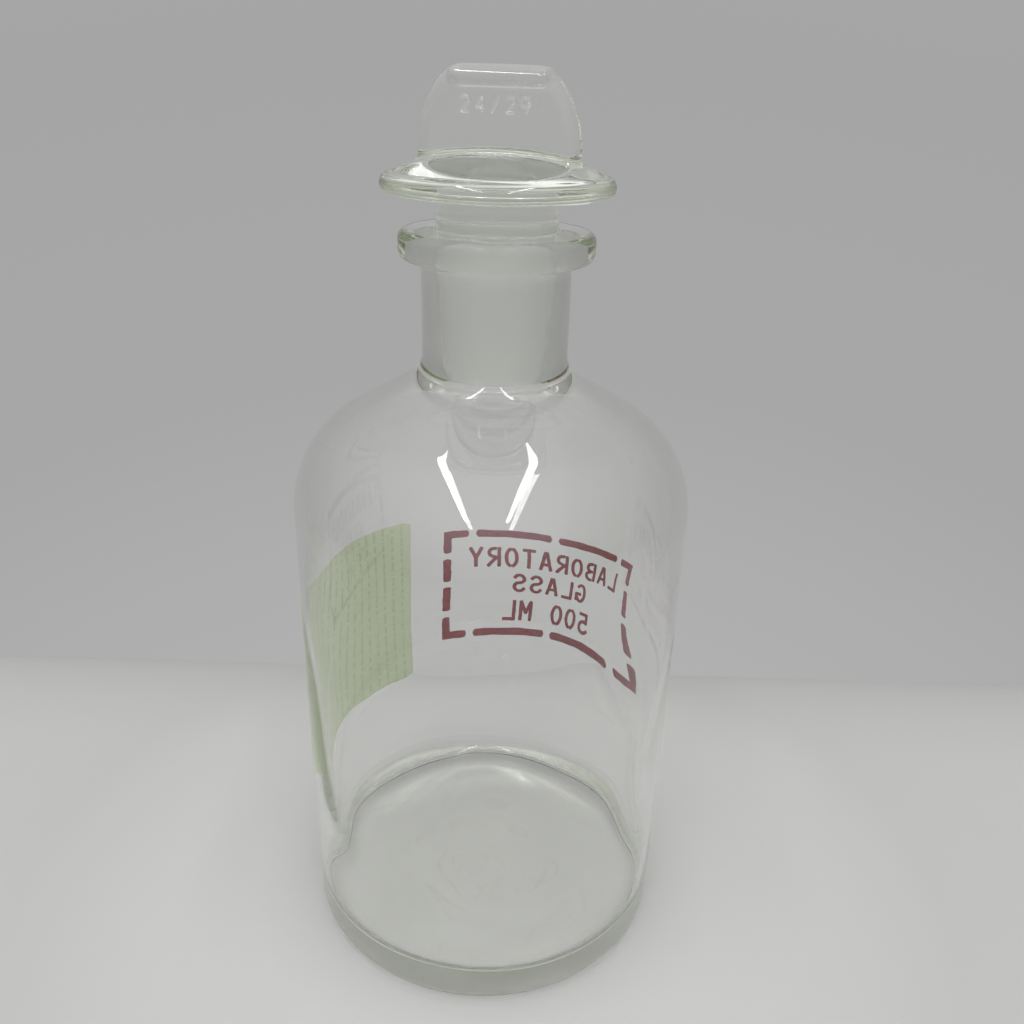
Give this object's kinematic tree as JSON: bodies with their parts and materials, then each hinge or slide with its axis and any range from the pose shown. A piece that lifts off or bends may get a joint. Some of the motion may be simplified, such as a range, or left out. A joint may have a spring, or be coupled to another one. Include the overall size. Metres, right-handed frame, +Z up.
{
  "type": "reagent bottle",
  "caption": "Round laboratory glass bottle with a sloped shoulder, flanged neck and a lift-out ground stopper with a flat finger tab; red stencil and green label.",
  "frame": {"origin": "middle of the foot, on the surface that the bottle stands on, on the axis of the bottle", "axes": "+Z up along the axis of the bottle and of the stopper's lift; +Y towards the stencilled side; +X to the right of a viewer who looks along +Y"},
  "size_m": [0.0861, 0.0861, 0.195],
  "materials": {
    "bottle_glass": "clear soda-lime glass, faint green, ground socket",
    "stopper_glass": "clear pressed glass, ground plug",
    "red_enamel": "fired-on red enamel print",
    "green_paper": "thin pale green paper, soaked and faded"
  },
  "bodies": {
    "bottle": {"bottle": "bottle_glass", "stencil_border": "red_enamel", "stencil_lettering": "red_enamel", "paper_label": "green_paper"},
    "stopper": {"stopper": "stopper_glass"}
  },
  "joints": [
    {"name": "stopper_lift", "type": "slide", "parent": "bottle", "child": "stopper", "axis": [0, 0, 1], "range_m": [0, 0.06]}
  ]
}
